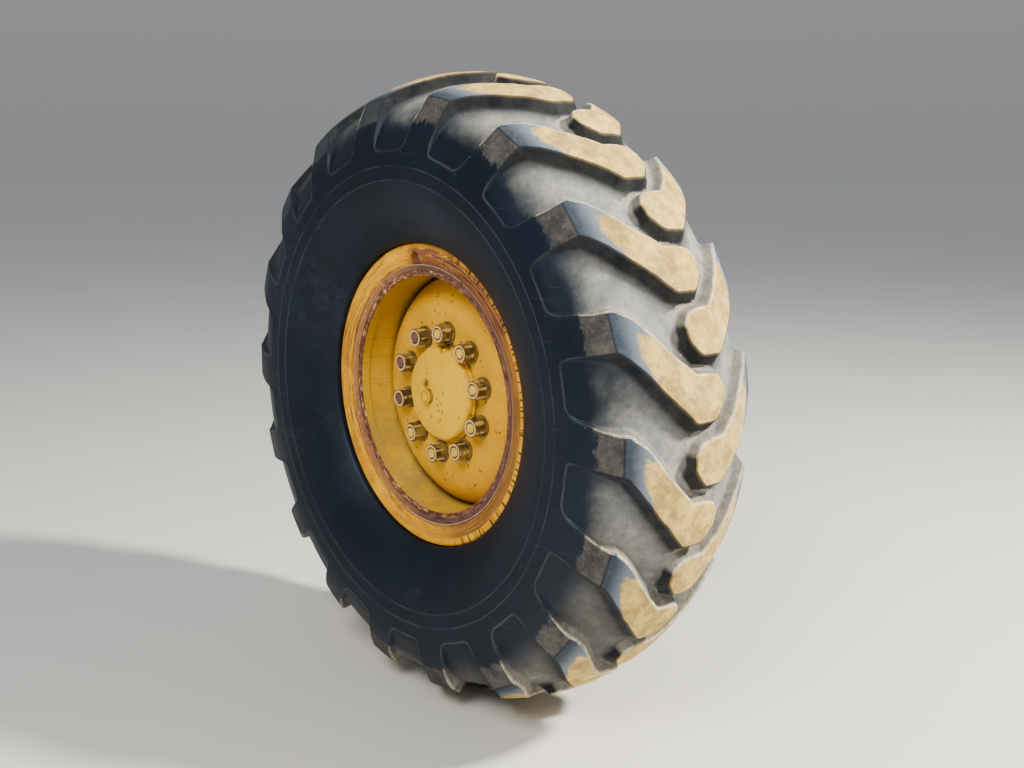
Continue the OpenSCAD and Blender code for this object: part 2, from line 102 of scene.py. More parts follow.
# Places of marks in the paint and rubber
PLUG_FOOT = AXLE + Vector((-0.0277, -0.1065, -0.0085))
CAP_CHIP = AXLE + Vector((-0.038, -0.1055, 0.021))
CAP_GREASE = AXLE + Vector((0.018, -0.092, 0.109))
DISC_GREASE = AXLE + Vector((0.02, -0.086, 0.114))
# Middle of the painted shade on the tread's low front
SHADED_LOW_TREAD = AXLE + Vector((0.42, -0.09, -0.52))
# Middle of the painted shade on the tread's top and rear
SHADED_TOP_TREAD = AXLE + Vector((-0.45, -0.09, 0.52))

# Bolts on the covers over the kingpin's ends, four to a cover: circle, head, and collar under the head
COVER_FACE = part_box("upper_pin_cover")[1][2] - AXLE.z
BOLT_CIRCLE_R = 0.037
BOLT_HEAD_R = 0.0075
BOLT_HEAD_H = 0.006
BOLT_COLLAR_R = 0.009
BOLT_COLLAR_H = 0.003

# Grease nipple on each cover: radius and middle height of its steps, in millimetres, and each step's height
NIPPLE_STEPS = ((5.5, 1), (3.2, 7), (4, 10))
NIPPLE_STEP_H = 4

# Section of the tyre: its crown is one arc, and each sidewall is another, about a centre across the middle
TYRE_R = 724.5
CROWN_R = 327
CROWN_CENTRE_R = TYRE_R - CROWN_R
TREAD_DEPTH = 27
SIDE_R = 274
SIDE_CENTRE_Y = 55
WIDEST_R = 533
WALL = 24
BEAD_R = 352

# Moulding rings on the sidewalls, the crease where the lugs bend over, and the hollows between shoulder pads
RINGS = (518.1, 487.5)
CREASE_R = 668
HOLLOW_DEPTH = 6
HOLLOW_LOW_R = 550.5

# Finer shape: unevenness of the lugs' edges and tops, and height and half width of the moulding rings and of
# the ridge along the hollows' edges
EDGE_WEAR = 1.6
TOP_WEAR = 0.7
RING_H = 1.1
RING_W = 1.7
RIDGE_H = 1.2
RIDGE_W = 2.2

# Lugs on each side of the tread, and the turn of the first in degrees
LUG_COUNT = 18
LUG_PHASE = 3.4
DEGREE = math.pi * TYRE_R / 180
PITCH = 360 / LUG_COUNT * DEGREE

# Outline of one lug of the outer side, as points across the tread and round it from the inner block's first
# corner, and then the edges of its shoulder pad, as radius and degrees past that corner
LUG_RISE = ((-178, 158), (-159, 136.5), (-112, 74.6), (-41, 0))
LUG_BLOCK = ((8, 0), (17, 6), (38, 33), (41, 63), (26, 86), (0, 92), (-37, 93.5))
LUG_FALL = ((-57, 114), (-70, 124), (-95, 152), (-112, 174), (-146, 220), (-175, 245), (-185, 244))
PAD_RISE = ((HOLLOW_LOW_R, 11), (HOLLOW_LOW_R + 3, 13), (575, 13.3), (600, 13.1), (642, 12.8))
PAD_FALL = ((642, 19.7), (604, 20.8), (572, 21.8), (557, 22.8), (HOLLOW_LOW_R, 24.3))
LUG_CORNER = 3

# Points of the flat map that follow the edge of the raised rubber: spacing, and distances of the rows from it
EDGE_STEP = 7
EDGE_ROWS = (-9, -4, -1.3, 0.6, 3, 6, 9, 12.5, 17)

# Points over its open areas: spacing in a row and of the rows, and room left to edge rows, rings and beads
FILL_STEP = 13
FILL_ROW_STEP = 0.87 * FILL_STEP
EDGE_ROOM = 6
RING_ROOM = 4.5
BEAD_ROOM = 5
LEAST_GAP = 1.7

# Rows round the rings, crease and beads: points in one pitch, and how many steps each row is turned. The turn
# keeps the rings' rows from being their own mirror images about the end of a pitch.
RING_STEPS = 24
RING_TURN = 0.13
RING_ROWS = (-2.6, 0, 2.6)
CREASE_ROWS = (-2.5, 0, 2.5)
BEAD_STEPS = 20
BEAD_TURN = 0.25

# Vent nubs on the sidewalls: radius and degrees past the lug of the two beside each pad, and their size
NUBS = ((548, 22.7), (596, 20.6))
NUB_FOOT_R = 1.5
NUB_TIP_R = 1.2
NUB_LENGTH = 9

# Stones at the feet of the tread's blocks: how many at each block, and their radii
STONES_AT_BLOCK = 7
STONE_RADII = (1.8, 4.4)

# Camera, fitted to the photo
CAMERA_PLACE = (2.0704, -2.0467, 0.6277)
CAMERA_AIM = (-0.7385, 0.6469, -0.1903)
CAMERA_LENS = 40.43

# Lamps: name, place, the place it is aimed at, size, power and colour
LAMPS = (
    ("key", (3.6, 2.05, 3.65), (0.1, -0.4, 0.1), 0.6, 1000, (1, 0.95, 0.85)),
    ("fill", (1.8, -3.6, 3.2), (0, -0.4, 0.1), 2, 250, (1, 0.97, 0.9)),
)

# Sky: its strength, its colours at the horizon and high up, and how high up the second begins
SKY_STRENGTH = 0.48
SKY_LOW = (0.56, 0.57, 0.58, 1)
SKY_HIGH = (0.86, 0.92, 1, 1)
SKY_FADE = 0.55

# Floor
FLOOR_Z = AXLE.z - TYRE_R * MM
FLOOR_HALF = 60


def soft_min(a, b, k):
    """The smaller of two values, rounded where they meet."""
    h = np.clip(0.5 + 0.5 * (b - a) / k, 0, 1)
    return b + (a - b) * h - k * h * (1 - h)


def soft_step(value, low, high):
    """0 below low and 1 above high, smooth between."""
    t = np.clip((value - low) / (high - low), 0, 1)
    return t * t * (3 - 2 * t)


def side_reach(turn, curve_r):
    """Distance from the crown's centre to a sidewall's curve at an angle of the section."""
    off = WIDEST_R - CROWN_CENTRE_R
    half = off * np.cos(turn) - SIDE_CENTRE_Y * np.abs(np.sin(turn))
    return half + np.sqrt(half * half - off * off - SIDE_CENTRE_Y**2 + curve_r * curve_r)


def crease_y():
    """How far out on the flat map the tread's curve meets the sidewall's."""
    low, high = 0, 1.2
    for _ in range(30):
        middle = (low + high) / 2
        if side_reach(middle, SIDE_R) > CROWN_R:
            low = middle
        else:
            high = middle
    return -low * CROWN_R


def side_y(radius):
    """Half the tyre's width at a radius of the sidewall."""
    return math.sqrt(SIDE_R**2 - (radius - WIDEST_R) ** 2) - SIDE_CENTRE_Y


def side_point(radius, degrees):
    """A point of the outer sidewall on the flat map."""
    turn = -math.atan2(side_y(radius), radius - CROWN_CENTRE_R)
    return degrees * DEGREE, turn * CROWN_R


def crown_point(across, along):
    """A point of the tread on the flat map."""
    return along, math.asin(across / CROWN_R) * CROWN_R


def cut_corners(points, cut):
    """Replaces each corner of an open line by two points, no further than cut from it."""
    out = [points[0]]
    for a, b in zip(points, points[1:]):
        run = b - a
        share = min(0.3, cut / (np.linalg.norm(run) + 1e-9))
        out += [a + run * share, b - run * share]
    return out + [points[-1]]


def lug_line():
    """The edge of the raised rubber over one pitch, from the sidewall up round the lug and back down."""
    rise = [side_point(*p) for p in PAD_RISE]
    fall = [side_point(*p) for p in PAD_FALL]
    lug = [crown_point(*p) for p in LUG_RISE + LUG_BLOCK + LUG_FALL]
    start = (fall[-1][0] - PITCH, fall[-1][1])
    line = [np.array(p, float) for p in [start] + rise + lug + fall]
    return np.array(cut_corners(line, LUG_CORNER))


def spaced(line, step):
    """Points at an even spacing along an open line, its last point left out."""
    run = np.concatenate([[0], np.cumsum(np.linalg.norm(np.diff(line, axis=0), axis=1))])
    count = max(2, round(run[-1] / step))
    at = np.linspace(0, run[-1], count, endpoint=False)
    return np.stack([np.interp(at, run, line[:, i]) for i in (0, 1)], axis=1)


def edge_distance(points, line):
    """Distance of each point to the repeating line, negative on its sidewall's side, and how far the line's
    outward side faces round the tyre there, from -1 to 1."""
    repeated = np.vstack([line[:-1] + [k * PITCH, 0] for k in range(-3, 4)])
    best = np.full(len(points), 1e9)
    facing = np.zeros(len(points))
    under = np.zeros(len(points), int)
    for p, q in zip(repeated[:-1], repeated[1:]):
        run = q - p
        t = np.clip(((points - p) @ run) / (run @ run), 0, 1)
        off = points - p - t[:, None] * run
        distance = np.linalg.norm(off, axis=1)
        closer = distance < best
        best[closer] = distance[closer]
        facing[closer] = off[closer, 0] / (distance[closer] + 1e-6)
        crosses = (p[0] <= points[:, 0]) != (q[0] <= points[:, 0])
        if run[0]:
            y = p[1] + (points[:, 0] - p[0]) / run[0] * run[1]
            under += crosses & (y < points[:, 1])
    sign = np.where(under % 2, 1, -1)
    return sign * best, sign * facing


def nearest_edge(points, line):
    """The same for the nearer of the two sides' lines."""
    near, near_facing = edge_distance(points, line)
    far, far_facing = edge_distance(other_side(points, -PITCH / 2), line)
    return np.minimum(near, far), np.where(near < far, near_facing, far_facing)


def other_side(points, shift=PITCH / 2):
    """Mirrors points of the flat map to the other side of the tread, half a pitch further on."""
    return np.stack([points[:, 0] + shift, -points[:, 1]], axis=1)


def even_row(count, turned, y):
    """One pitch of a row of points round the tyre, turned by a number of steps."""
    return [((i + turned) * PITCH / count, y) for i in range(count)]


def edge_rows(line):
    """Rows of points that follow the edge of the raised rubber, on both sides of the tread."""
    edge = spaced(line, EDGE_STEP)
    longer = np.vstack([edge[-1] - [PITCH, 0], edge, edge[0] + [PITCH, 0]])
    along = longer[2:] - longer[:-2]
    along /= np.linalg.norm(along, axis=1)[:, None]
    out = np.stack([-along[:, 1], along[:, 0]], axis=1)
    rows = []
    for reach in EDGE_ROWS:
        row = edge + out * reach
        for points in (row, other_side(row)):
            gap = nearest_edge(points, line)[0]
            rows.append(points[np.abs(gap - reach) < 0.25 + 0.06 * abs(reach)])
    return rows


def fill_rows(line, low_y, ring_y):
    """Staggered rows of points over the whole map, left out near the edge's rows and the rings."""
    rows = int(2 * -low_y / FILL_ROW_STEP)
    count = round(PITCH / FILL_STEP)
    fill = []
    for row in range(1, rows):
        fill += even_row(count, 0.5 * (row % 2), low_y + row * -2 * low_y / rows)
    fill = np.array(fill)
    gap = nearest_edge(fill, line)[0]
    past_edge_rows = (gap < EDGE_ROWS[0] - EDGE_ROOM) | (gap > EDGE_ROWS[-1] + EDGE_ROOM)
    ring_gap = np.min(np.abs(np.abs(fill[:, 1])[:, None] + np.array(ring_y)[None, :]), axis=1)
    return fill[past_edge_rows & (ring_gap > RING_ROOM)]


def map_points(line, low_y):
    """The points of one pitch of the flat map, with their distance to the nearest edge and its facing."""
    ring_y = [side_point(r + d, 0)[1] for r in RINGS for d in RING_ROWS]
    ring_y += [crease_y() + d for d in CREASE_ROWS]
    rings = []
    for k, y in enumerate(ring_y):
        for side in (-1, 1):
            rings += even_row(RING_STEPS, RING_TURN + 0.5 * (k % 2), side * y)
    points = np.vstack(edge_rows(line) + [fill_rows(line, low_y, ring_y), rings])
    points[:, 0] %= PITCH
    points = points[np.abs(points[:, 1]) < -low_y - BEAD_ROOM]
    ends = even_row(BEAD_STEPS, BEAD_TURN, low_y) + even_row(BEAD_STEPS, BEAD_TURN, -low_y)
    points = np.vstack([ends, thinned(points, LEAST_GAP)])
    return (points,) + nearest_edge(points, line)


def thinned(points, least):
    """Leaves out each point that lies closer than least to one before it."""
    cells = {}
    keep = []
    for i, (x, y) in enumerate(points):
        cell = (int(x // least), int(y // least))
        close = any(
            math.hypot(points[j][0] - x, points[j][1] - y) < least
            for cx in (-1, 0, 1) for cy in (-1, 0, 1)
            for j in cells.get((cell[0] + cx, cell[1] + cy), ())
        )
        if not close:
            cells.setdefault(cell, []).append(i)
            keep.append(i)
    return points[keep]


def map_triangles(points):
    """Triangles over one pitch and across its end: each corner is a point and a shift by whole pitches."""
    count = len(points)
    copies = [Vector((x + k * PITCH, y)) for k in (-1, 0, 1) for x, y in points]
    result = delaunay_2d_cdt(copies, [], [], 0, 1e-4)
    names = [src[0] for src in result[3]]
    triangles = []
    for face in result[2]:
        corners = [names[i] for i in face]
        middle = sum(copies[c].x for c in corners) / 3
        if -1e-3 <= middle < PITCH - 1e-3:
            triangles.append([(c % count, c // count - 1) for c in corners])
    return triangles


def round_axle(radius, across, angle):
    """A point at a radius and angle round the axle and a distance along it."""
    return radius * np.cos(angle), across, radius * np.sin(angle)


def unevenness(angle, turn):
    """Noise over the tyre's surface, coarse and fine, at angles round it and turns of its section."""
    coarse_and_fine = ((14, 6, 1), (60, 26, 0.5))
    return np.array([
        sum(share * noise.noise((math.cos(a) * scale, math.sin(a) * scale, t * across))
            for scale, across, share in coarse_and_fine)
        for a, t in zip(angle, turn)
    ])


def raised_share(depth, gap, facing):
    """How much of the tread's depth is filled, from 0 in a groove to 1 on a lug, round at foot and edge. The
    walls that face forward round the tyre's top lean more than the others."""
    slope = 0.34 + 0.42 * soft_step(-facing, 0, 0.6)
    fall = 1 - gap / np.maximum(slope * depth, 3)
    height = 0.5 * (fall + np.sqrt(fall * fall + 0.09))
    return np.clip(soft_min(height, 1, 0.06), 0, 1)


def ring_rise(high_r, turn):
    """Height of the two moulding rings."""
    on_side = (high_r < HOLLOW_LOW_R - 12) * (np.abs(turn) > 1)
    return sum(RING_H * np.exp(-((high_r - ring_r) / RING_W) ** 2) * on_side for ring_r in RINGS)


def tyre_shape(points, edge_gap, facing):
    """Places the flat map's points on every pitch of the tyre, and gives the numbers its material uses."""
    turn = np.tile(points[:, 1] / CROWN_R, LUG_COUNT)
    along = np.concatenate([points[:, 0] + k * PITCH for k in range(LUG_COUNT)])
    angle = np.radians(LUG_PHASE + along / DEGREE)
    facing = np.tile(facing, LUG_COUNT)

    top = soft_min(CROWN_R, side_reach(turn, SIDE_R), 1.5)
    high_r = CROWN_CENTRE_R + top * np.cos(turn)
    hollow = HOLLOW_DEPTH * soft_step(high_r, HOLLOW_LOW_R + 1, HOLLOW_LOW_R + 50)
    floor = soft_min(CROWN_R - TREAD_DEPTH, side_reach(turn, SIDE_R - hollow), 30)
    depth = np.maximum(top - floor, 0)
    on_tread = soft_step(depth, 4, 14)

    rough = unevenness(angle, turn) * on_tread
    gap = np.tile(edge_gap, LUG_COUNT) + EDGE_WEAR * rough
    height = raised_share(depth, gap, facing)
    on_pads = soft_step(high_r, HOLLOW_LOW_R - 6, HOLLOW_LOW_R)
    ridge = np.exp(-((gap + 0.5) / RIDGE_W) ** 2) * (1 - on_tread) * on_pads
    fine_shape = TOP_WEAR * rough * height + ring_rise(high_r, turn) + RIDGE_H * ridge
    reach = floor + depth * height + fine_shape

    radius = CROWN_CENTRE_R + reach * np.cos(turn)
    across = reach * np.sin(turn)
    place = np.stack(round_axle(radius, across, angle), axis=1)
    facts = {"height": height, "edge_gap": gap, "across": np.abs(across), "radius": radius,
             "tread": on_tread, "ridge": ridge, "facing": facing}
    return place, facts


def tread_faces(points):
    """Triangles of the tyre's outside. The points of one pitch are followed by those of the next."""
    count = len(points)
    return [[i + (k + shift) % LUG_COUNT * count for i, shift in triangle]
            for triangle in map_triangles(points) for k in range(LUG_COUNT)]


def bead_rows():
    """Half section of a bead behind its flange and of the tyre's inside, as radius and distance across."""
    inner = SIDE_R - WALL
    bead = [(350.4, 148.6), (349.9, 144), (349.9, 136), (349.9, 129)]
    bead += [(346, 127.2), (305.2, 127.2), (305.2, 72)]
    side = [(r, math.sqrt(inner**2 - (r - WIDEST_R) ** 2) - SIDE_CENTRE_Y) for r in (345, 392, 450, 533, 600)]
    return bead + side + [(640, 110), (665, 50)]


def inner_skin(count, total):
    """Points and faces that run from one bead through the tyre's inside to the other. A pitch of the outside
    has count points, its first ones along the beads, and the whole outside has total."""
    around = LUG_COUNT * BEAD_STEPS
    beads = [[k * count + i for k in range(LUG_COUNT) for i in range(first, first + BEAD_STEPS)]
             for first in (0, BEAD_STEPS)]
    angles = np.radians(LUG_PHASE + (np.arange(around) + BEAD_TURN) * 360 / around)
    half = bead_rows()
    points = []
    faces = []
    last = beads[0]
    for radius, across in [(r, -y) for r, y in half] + half[::-1]:
        row = list(range(total + len(points), total + len(points) + around))
        points += [round_axle(radius, across, a) for a in angles]
        faces += ring_of_faces(last, row)
        last = row
    return points, faces + ring_of_faces(last, beads[1])


def ring_of_faces(low, high):
    """Four-sided faces between two closed rows of points."""
    count = len(low)
    return [[low[i], high[i], high[(i + 1) % count], low[(i + 1) % count]] for i in range(count)]


def build_tyre():
    """The tyre as one closed mesh: its lugged outside from bead to bead, and a plain inside."""
    line = lug_line()
    low_y = side_point(BEAD_R, 0)[1]
    points, edge_gap, facing = map_points(line, low_y)
    outside, facts = tyre_shape(points, edge_gap, facing)
    inside, inner_faces = inner_skin(len(points), len(outside))
    mesh = bpy.data.meshes.new("tyre_tread")
    place = np.vstack([outside, inside]) * MM + np.array(AXLE)
    mesh.from_pydata(place.tolist(), [], tread_faces(points) + inner_faces)
    mesh.validate()
    for name, values in facts.items():
        layer = mesh.attributes.new(name, "FLOAT", "POINT")
        layer.data.foreach_set("value", np.concatenate([values, np.zeros(len(inside))]))
    mesh.shade_smooth()
    return linked("tyre_tread", mesh)


def linked(name, data):
    """A new object in the scene."""
    item = bpy.data.objects.new(name, data)
    bpy.context.scene.collection.objects.link(item)
    return item


def srgb(red, green, blue):
    """A colour given as it looks on a screen, from 0 to 255, in the linear values that shaders take."""
    shares = (c / 255 for c in (red, green, blue))
    return tuple(((c + 0.055) / 1.055) ** 2.4 if c > 0.04 else c / 12.92 for c in shares) + (1,)


class Nodes:
    """Adds nodes to the tree of a material or of the sky."""

    def __init__(self, tree):
        self.tree = tree

    def add(self, kind, inputs=(), **settings):
        """A new node, with its settings, and with values or other nodes' results in its inputs."""
        node = self.tree.nodes.new(kind)
        for key, value in settings.items():
            setattr(node, key, value)
        for key, value in dict(inputs).items():
            self.put(node.inputs[key], value)
        return node

    def put(self, socket, value):
        if isinstance(value, bpy.types.NodeSocket):
            self.tree.links.new(value, socket)
        else:
            socket.default_value = value

    def span(self, value, low, high):
        """0 below low and 1 above high, smooth between. With low over high it runs the other way."""
        (low, start), (high, end) = sorted(((low, 0), (high, 1)))
        ends = {"Value": value, "From Min": low, "From Max": high, "To Min": start, "To Max": end}
        return self.add("ShaderNodeMapRange", ends, interpolation_type="SMOOTHSTEP").outputs["Result"]


class Shade(Nodes):
    """Builds one material. Each of its methods returns the socket that holds the result."""

    def __init__(self, name, roughness=0.5, metallic=0):
        self.material = bpy.data.materials.new(name)
        self.material.use_nodes = True
        super().__init__(self.material.node_tree)
        self.skin = self.tree.nodes["Principled BSDF"].inputs
        self.skin["Roughness"].default_value = roughness
        self.skin["Metallic"].default_value = metallic
        self.where = self.add("ShaderNodeTexCoord").outputs["Object"]

    def noise(self, scale, detail, roughness, where=None, stretch=None):
        place = where or self.where
        if stretch:
            place = self.add("ShaderNodeMapping", {"Vector": place, "Scale": stretch}).outputs["Vector"]
        inputs = {"Vector": place, "Scale": scale, "Detail": detail, "Roughness": roughness}
        return self.add("ShaderNodeTexNoise", inputs).outputs["Fac"]

    def patches(self, scale, detail, roughness, low, high, **place):
        """Noise cut into patches: 0 where it is under low and 1 where it is over high."""
        return self.span(self.noise(scale, detail, roughness, **place), low, high)

    def swing(self, noise_value, reach):
        """Turns noise into a value that runs about 0 and is as wide as reach."""
        return self.times(self.maths("SUBTRACT", noise_value, 0.5), reach)

    def spots(self, scale, where, randomness=1, dimensions="3D"):
        """Distance to the nearest of many scattered points."""
        inputs = {"W" if dimensions == "1D" else "Vector": where, "Scale": scale, "Randomness": randomness}
        return self.add("ShaderNodeTexVoronoi", inputs, voronoi_dimensions=dimensions).outputs["Distance"]

    def shaken(self, scale, reach):
        """The place, moved about by noise, so that what is drawn there gets ragged edges."""
        shift = self.add("ShaderNodeTexNoise", {"Vector": self.where, "Scale": scale}).outputs["Color"]
        inputs = {0: shift, 1: (reach, reach, reach), 2: self.where}
        return self.add("ShaderNodeVectorMath", inputs, operation="MULTIPLY_ADD").outputs["Vector"]

    def window(self, value, low, high, soft):
        """1 between low and high, and 0 further out than soft."""
        return self.times(self.span(value, low - soft, low), self.span(value, high + soft, high))

    def distance(self, place):
        ends = {0: self.where, 1: place}
        return self.add("ShaderNodeVectorMath", ends, operation="DISTANCE").outputs["Value"]

    def near(self, place, full, none):
        """1 within one distance of a place and 0 past the other."""
        return self.span(self.distance(place), none, full)

    def upward(self):
        """How far a surface faces up, from -1 to 1."""
        normal = self.add("ShaderNodeNewGeometry").outputs["Normal"]
        return self.add("ShaderNodeSeparateXYZ", {0: normal}).outputs["Z"]

    def maths(self, operation, a, b=0):
        return self.add("ShaderNodeMath", {0: a, 1: b}, operation=operation).outputs["Value"]

    def times(self, *values):
        return reduce(partial(self.maths, "MULTIPLY"), values)

    def plus(self, *values):
        return reduce(partial(self.maths, "ADD"), values)

    def mix(self, share, a, b):
        """Fades from one colour to another. A colour is a socket, or red, green and blue as on a screen."""
        a, b = (srgb(*colour) if isinstance(colour, tuple) else colour for colour in (a, b))
        return self.add("ShaderNodeMix", {"Factor": share, 6: a, 7: b}, data_type="RGBA").outputs[2]

    def layers(self, colour, *coats):
        """Lays coats over a colour, one after the other. Each is a colour, and shares that are multiplied."""
        for over, *shares in coats:
            colour = self.mix(self.times(*shares), colour, over)
        return colour

    def blend(self, share, a, b):
        """Fades from one number to another."""
        return self.add("ShaderNodeMix", {"Factor": share, 2: a, 3: b}, data_type="FLOAT").outputs[0]

    def bump(self, height, strength, distance, under=None):
        """Small relief in the surface's light, over what is under it."""
        inputs = {"Height": height, "Strength": strength, "Distance": distance}
        if under:
            inputs["Normal"] = under
        return self.add("ShaderNodeBump", inputs).outputs["Normal"]

    def finish(self, colour, roughness=None, normal=None):
        """Puts the results on the surface and gives the material."""
        for name, value in (("Base Color", colour), ("Roughness", roughness), ("Normal", normal)):
            if value is not None:
                self.put(self.skin[name], value)
        return self.material


class WheelShade(Shade):
    """A material of a piece round the axle. It has the radius and the place y along the axle in metres, the
    turn round it in radians, and how far forward and up that turn points, from -1 to 1."""

    def __init__(self, name, roughness=0.5, metallic=0):
        super().__init__(name, roughness, metallic)
        shift = self.add("ShaderNodeVectorMath", {0: self.where, 1: AXLE}, operation="SUBTRACT").outputs[0]
        x, self.y, z = self.add("ShaderNodeSeparateXYZ", {0: shift}).outputs
        self.radius = self.maths("SQRT", self.plus(self.times(x, x), self.times(z, z)))
        self.turn = self.maths("ARCTAN2", z, x)
        self.forward = self.maths("COSINE", self.turn)
        self.up = self.maths("SINE", self.turn)

    def ring_place(self, radial, around, along):
        """Texture coordinates that run round the wheel, each way stretched by its own share."""
        height = self.plus(self.times(self.up, around), self.times(self.y, along))
        inputs = {0: self.times(self.radius, radial), 1: self.times(self.forward, around), 2: height}
        return self.add("ShaderNodeCombineXYZ", inputs).outputs[0]

    def nut_gap(self):
        """Distance to the axis of the nearest wheel nut."""
        step = 2 * math.pi / NUT_COUNT
        share = self.times(self.maths("SUBTRACT", self.turn, math.radians(NUT_PHASE)), 1 / step)
        aside = self.times(self.maths("PINGPONG", share, 0.5), step, self.radius)
        out = self.maths("SUBTRACT", self.radius, NUT_CIRCLE_R)
        return self.maths("SQRT", self.plus(self.times(aside, aside), self.times(out, out)))

    def fact(self, name):
        """A number that the tyre's mesh carries at each point, lengths in millimetres."""
        return self.add("ShaderNodeAttribute", attribute_name=name).outputs["Fac"]


def rubber():
    """Worn tyre rubber: dust on the tread's tops, grey grooves, and black sidewalls tinted navy by painted
    sky light.
    """
    s = WheelShade("tyre_rubber")
    s.skin["Specular IOR Level"].default_value = 0.3
    # A bluish specular tint: painted reflection of the sky.
    s.skin["Specular Tint"].default_value = (0.66, 0.82, 1, 1)
    height, radius, gap, facing, tread = map(s.fact, ("height", "radius", "edge_gap", "facing", "tread"))
    fine = s.noise(75, 6, 0.75)
    broad = s.noise(5, 5, 0.6)

    on_top = s.span(height, 0.86, 0.97)
    low = s.mix(s.span(height, 0.3, 0.06), wall_dust_and_shade(s, fine), groove_dust(s, fine))
    # Dark line along the top edge of the walls that face forward round the tyre: painted shade.
    shaded_lip = s.times(s.window(gap, -1.4, 2.4, 1), s.span(facing, 0.2, -0.3), tread)
    # Pale line along the top edge of the other walls: painted highlight.
    lit_lip = s.times(s.window(gap, -2.4, 1.2, 1.5), s.span(facing, 0.1, 0.5), tread)
    dust = s.layers(
        s.mix(on_top, low, top_dust(s, fine)),
        ((30, 28, 27), shaded_lip, 0.85),
        ((210, 200, 172), lit_lip, s.span(fine, 0.3, 0.6), 0.6),
    )

    torn = s.plus(radius, s.swing(s.noise(44, 6, 0.8, stretch=(1, 1, 0.6)), 58))
    cloudy = s.plus(radius, s.swing(broad, 90), s.swing(s.noise(16, 6, 0.7), 50))
    dusty = s.blend(on_top, s.span(cloudy, 592, 680), s.span(torn, 613, 620))
    colour = s.mix(dusty, side_rubber(s, broad, radius), dust)
    normal = s.bump(s.noise(420, 3, 0.7), 0.2, 0.0005)
    normal = s.bump(fine, s.times(dusty, 0.5), 0.0025, normal)
    return s.finish(colour, s.blend(dusty, 0.5, 0.88), normal)


def side_rubber(s, broad, radius):
    """Bare sidewall rubber, navy as painted sky light: hazy and scratched, paler along its rings and its
    hollows' edges.
    """
    worn = s.blend(s.patches(7, 5, 0.7, 0.36, 0.62), 0.04, 0.24)
    return s.layers(
        # Navy base colour: black rubber tinted as painted sky light in the shade.
        s.mix(s.span(broad, 0.35, 0.65), (2, 6, 17), (6, 12, 27)),
        ((54, 64, 80), s.patches(3.2, 4, 0.6, 0.5, 0.72), s.patches(40, 5, 0.75, 0.3, 0.7), 0.22),
        ((92, 98, 108), s.patches(60, 2, 0.5, 0.7, 0.72, stretch=(0.12, 1, 3)), 0.1),
        *(((84, 92, 104), s.window(radius, ring_r - 1.2, ring_r + 1.2, 1.2), worn) for ring_r in RINGS),
        ((112, 120, 128), s.fact("ridge"), worn),
    )


def top_dust(s, fine):
    """Tops of the lugs: scuffed grey past the crease, clean slate before it and tan dust in the middle."""
    across, radius = s.fact("across"), s.fact("radius")
    # Clean slate rubber, darker towards the shoulder partly as painted shade.
    slate = s.layers(
        s.mix(s.span(across, 176, 140), (46, 54, 64), (102, 110, 120)),
        ((122, 130, 138), s.span(fine, 0.45, 0.8), 0.22),
    )
    at_edge = s.times(s.span(s.fact("edge_gap"), -20, 0), 22)
    start = s.plus(across, s.swing(s.noise(24, 7, 0.8), 46), at_edge)
    return s.layers(
        tan_dust(s),
        (slate, s.span(start, 137, 150)),
        (lug_end(s, fine), s.span(radius, CREASE_R + 0.8, CREASE_R - 0.8)),
        ((26, 26, 29), s.window(radius, CREASE_R - 1, CREASE_R + 1, 1.5), 0.7),
    )


def tan_dust(s):
    """Dry dust with mud stains, dark and pale grains, greyer patches and scores that run round the tyre."""
    patchy = s.noise(22, 6, 0.72)
    scores = s.patches(1, 5, 0.75, 0.56, 0.64, where=s.ring_place(60, 6, 260))
    return s.layers(
        s.mix(s.span(patchy, 0.34, 0.66), (158, 130, 68), (218, 188, 104)),
        ((140, 104, 66), s.patches(26, 6, 0.75, 0.51, 0.64), 0.65),
        ((110, 92, 66), s.patches(95, 5, 0.8, 0.56, 0.68), 0.55),
        ((240, 220, 150), s.patches(130, 6, 0.8, 0.58, 0.7), 0.6),
        ((146, 138, 112), s.patches(9, 5, 0.7, 0.5, 0.68), 0.45),
        ((112, 88, 62), scores, s.span(patchy, 0.4, 0.6), 0.28),
    )


def lug_end(s, fine):
    """Scuffed dark faces of the lugs past the shoulder's crease."""
    return s.layers(
        s.mix(s.patches(20, 7, 0.8, 0.36, 0.66), (44, 43, 44), (80, 75, 70)),
        ((112, 106, 98), s.span(fine, 0.52, 0.7), 0.5),
        # Painted shade at the tyre's top and rear.
        ((40, 45, 50), top_rear_shade(s), 0.8),
    )


def groove_dust(s, fine):
    """Floor of the tread's grooves: cool grey dust with stains, with painted shadow at the lugs and painted
    shade low in front.
    """
    patchy = s.noise(18, 6, 0.72)
    # Darker floor at the feet of the walls that face forward: painted shadow of the lugs.
    foot = s.times(s.span(s.fact("edge_gap"), 62, 14), s.span(s.fact("facing"), 0.3, -0.5))
    return s.layers(
        s.mix(s.span(patchy, 0.3, 0.7), (106, 109, 110), (154, 151, 142)),
        ((190, 185, 172), s.span(fine, 0.58, 0.72), 0.5),
        ((84, 81, 76), s.patches(34, 6, 0.8, 0.53, 0.64), 0.4),
        ((140, 124, 92), s.span(s.fact("across"), 60, 20), s.patches(30, 5, 0.7, 0.35, 0.6), 0.5),
        ((44, 45, 47), foot, s.span(patchy, 0.1, 0.5), 0.85),
        # Darker floor low at the front: painted shade.
        ((50, 46, 42), s.near(SHADED_LOW_TREAD, 0.2, 0.52), s.patches(8, 6, 0.7, 0.2, 0.5), 0.75),
        # Painted shade at the tyre's top and rear.
        ((56, 62, 68), top_rear_shade(s), 0.75),
    )


def top_rear_shade(s):
    """Where the tyre's top and rear get painted shade."""
    return s.times(s.near(SHADED_TOP_TREAD, 0.3, 0.62), s.patches(12, 6, 0.7, 0.15, 0.45))


